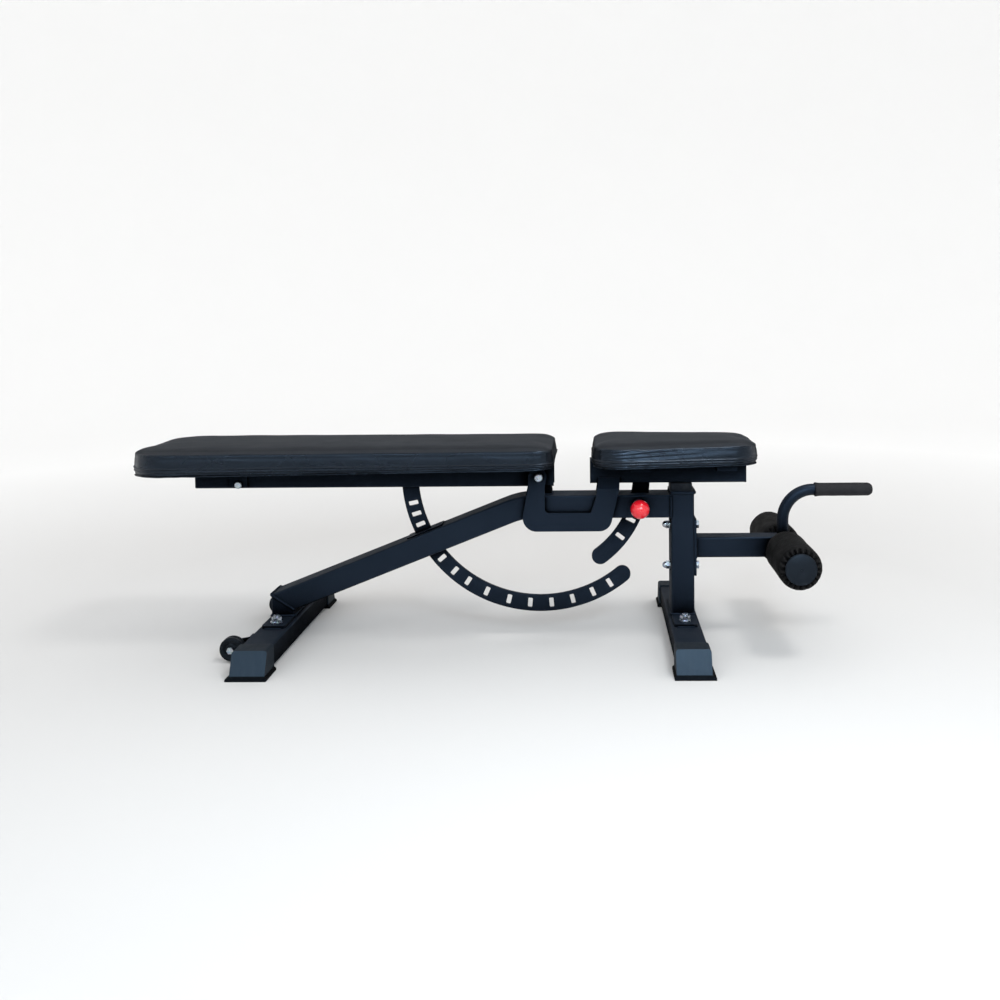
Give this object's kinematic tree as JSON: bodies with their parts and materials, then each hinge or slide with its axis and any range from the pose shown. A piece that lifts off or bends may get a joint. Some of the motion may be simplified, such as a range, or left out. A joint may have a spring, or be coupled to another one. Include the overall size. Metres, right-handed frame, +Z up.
{
  "type": "adjustable weight bench",
  "caption": "Weight bench with a back rest from decline to upright, a tilting seat, leg-hold rollers and transport wheels.",
  "frame": {"origin": "on the floor, in the middle of the bench's outline", "axes": "+X along the bench from the head end to the leg rollers, +Y across it to the left, +Z up"},
  "size_m": [1.592, 0.55, 0.439],
  "materials": {
    "frame_paint": "black powder coat, fine texture",
    "zinc": "zinc plated",
    "spring_steel": "drawn wire",
    "bumper_rubber": "moulded rubber",
    "nylon": "moulded nylon",
    "plastic": "moulded black plastic",
    "foot_plastic": "satin black moulded sleeve",
    "grip_foam": "foam rubber sleeve",
    "board": "plywood, painted black",
    "vinyl": "black upholstery vinyl with fine grain",
    "knob_red": "glossy red ball",
    "wheel_rubber": "solid moulded wheel",
    "roller_foam": "closed-cell foam"
  },
  "bodies": {
    "frame": {"main_beam": "frame_paint", "rear_stub": "frame_paint", "front_post": "frame_paint", "post_top_plate": "frame_paint", "rest_bumper": "bumper_rubber", "foot_bolts": "zinc", "foot_nuts": "zinc", "pivot_lug": "frame_paint", "pivot_bolt": "zinc", "pivot_nut": "zinc", "pivot_washers": "nylon", "pivot_spacers": "zinc", "arc_guide_plate": "frame_paint", "leg_plate": "frame_paint", "leg_tube": "frame_paint", "leg_tube_cap": "plastic", "leg_bolts": "zinc", "leg_nuts": "zinc", "handle_tube": "frame_paint", "handle_grip": "grip_foam", "roller_axle": "frame_paint", "wheel_brackets": "frame_paint", "wheel_bolts": "zinc", "front_base_plate": "frame_paint", "rear_base_plate": "frame_paint", "front_foot_tube": "frame_paint", "rear_foot_tube": "frame_paint", "front_foot_cap_right": "foot_plastic", "front_foot_cap_left": "foot_plastic", "rear_foot_cap_right": "foot_plastic", "rear_foot_cap_left": "foot_plastic", "seat_pin_housing": "frame_paint", "back_pin_housing": "frame_paint", "seat_pin_spring": "spring_steel", "back_pin_spring": "spring_steel"},
    "backrest": {"back_frame": "frame_paint", "back_frame_cap": "plastic", "back_brackets": "frame_paint", "back_board": "board", "back_pad": "vinyl", "back_screws": "zinc", "back_arc": "frame_paint"},
    "seat": {"seat_links": "frame_paint", "seat_frame": "frame_paint", "seat_end_plates": "frame_paint", "seat_brackets": "frame_paint", "seat_board": "board", "seat_pad": "vinyl", "seat_screws": "zinc", "seat_arc": "frame_paint"},
    "seat_pin": {"seat_pin_plunger": "zinc", "seat_pin_knob": "knob_red"},
    "back_pin": {"back_pin_plunger": "zinc", "back_pin_knob": "knob_red"},
    "wheel_right": {"wheel_right": "wheel_rubber"},
    "wheel_left": {"wheel_left": "wheel_rubber"},
    "roller_right": {"roller_core_right": "plastic", "roller_foam_right": "roller_foam"},
    "roller_left": {"roller_core_left": "plastic", "roller_foam_left": "roller_foam"}
  },
  "joints": [
    {"name": "backrest_pivot", "type": "hinge", "parent": "frame", "child": "backrest", "pos_m": [0.068, 0, 0.36], "axis": [0, 1, 0], "range_deg": [-20, 90]},
    {"name": "seat_pivot", "type": "hinge", "parent": "frame", "child": "seat", "pos_m": [0.068, 0, 0.36], "axis": [0, -1, 0], "range_deg": [0, 22.5]},
    {"name": "seat_pin_pull", "type": "slide", "parent": "frame", "child": "seat_pin", "axis": [0, -1, 0], "range_m": [-0.01, 0.003], "stiffness_N_per_m": 400, "deforming": ["seat_pin_spring"]},
    {"name": "back_pin_pull", "type": "slide", "parent": "frame", "child": "back_pin", "axis": [0, 1, 0], "range_m": [-0.01, 0.003], "stiffness_N_per_m": 400, "deforming": ["back_pin_spring"]},
    {"name": "wheel_right_spin", "type": "hinge", "parent": "frame", "child": "wheel_right", "pos_m": [-0.5635, -0.16, 0.028], "axis": [0, 1, 0], "continuous": true},
    {"name": "wheel_left_spin", "type": "hinge", "parent": "frame", "child": "wheel_left", "pos_m": [-0.5635, 0.16, 0.028], "axis": [0, 1, 0], "continuous": true},
    {"name": "roller_right_spin", "type": "hinge", "parent": "frame", "child": "roller_right", "pos_m": [0.602, -0.108, 0.194], "axis": [0, 1, 0], "continuous": true},
    {"name": "roller_left_spin", "type": "hinge", "parent": "frame", "child": "roller_left", "pos_m": [0.602, 0.108, 0.194], "axis": [0, 1, 0], "continuous": true}
  ]
}
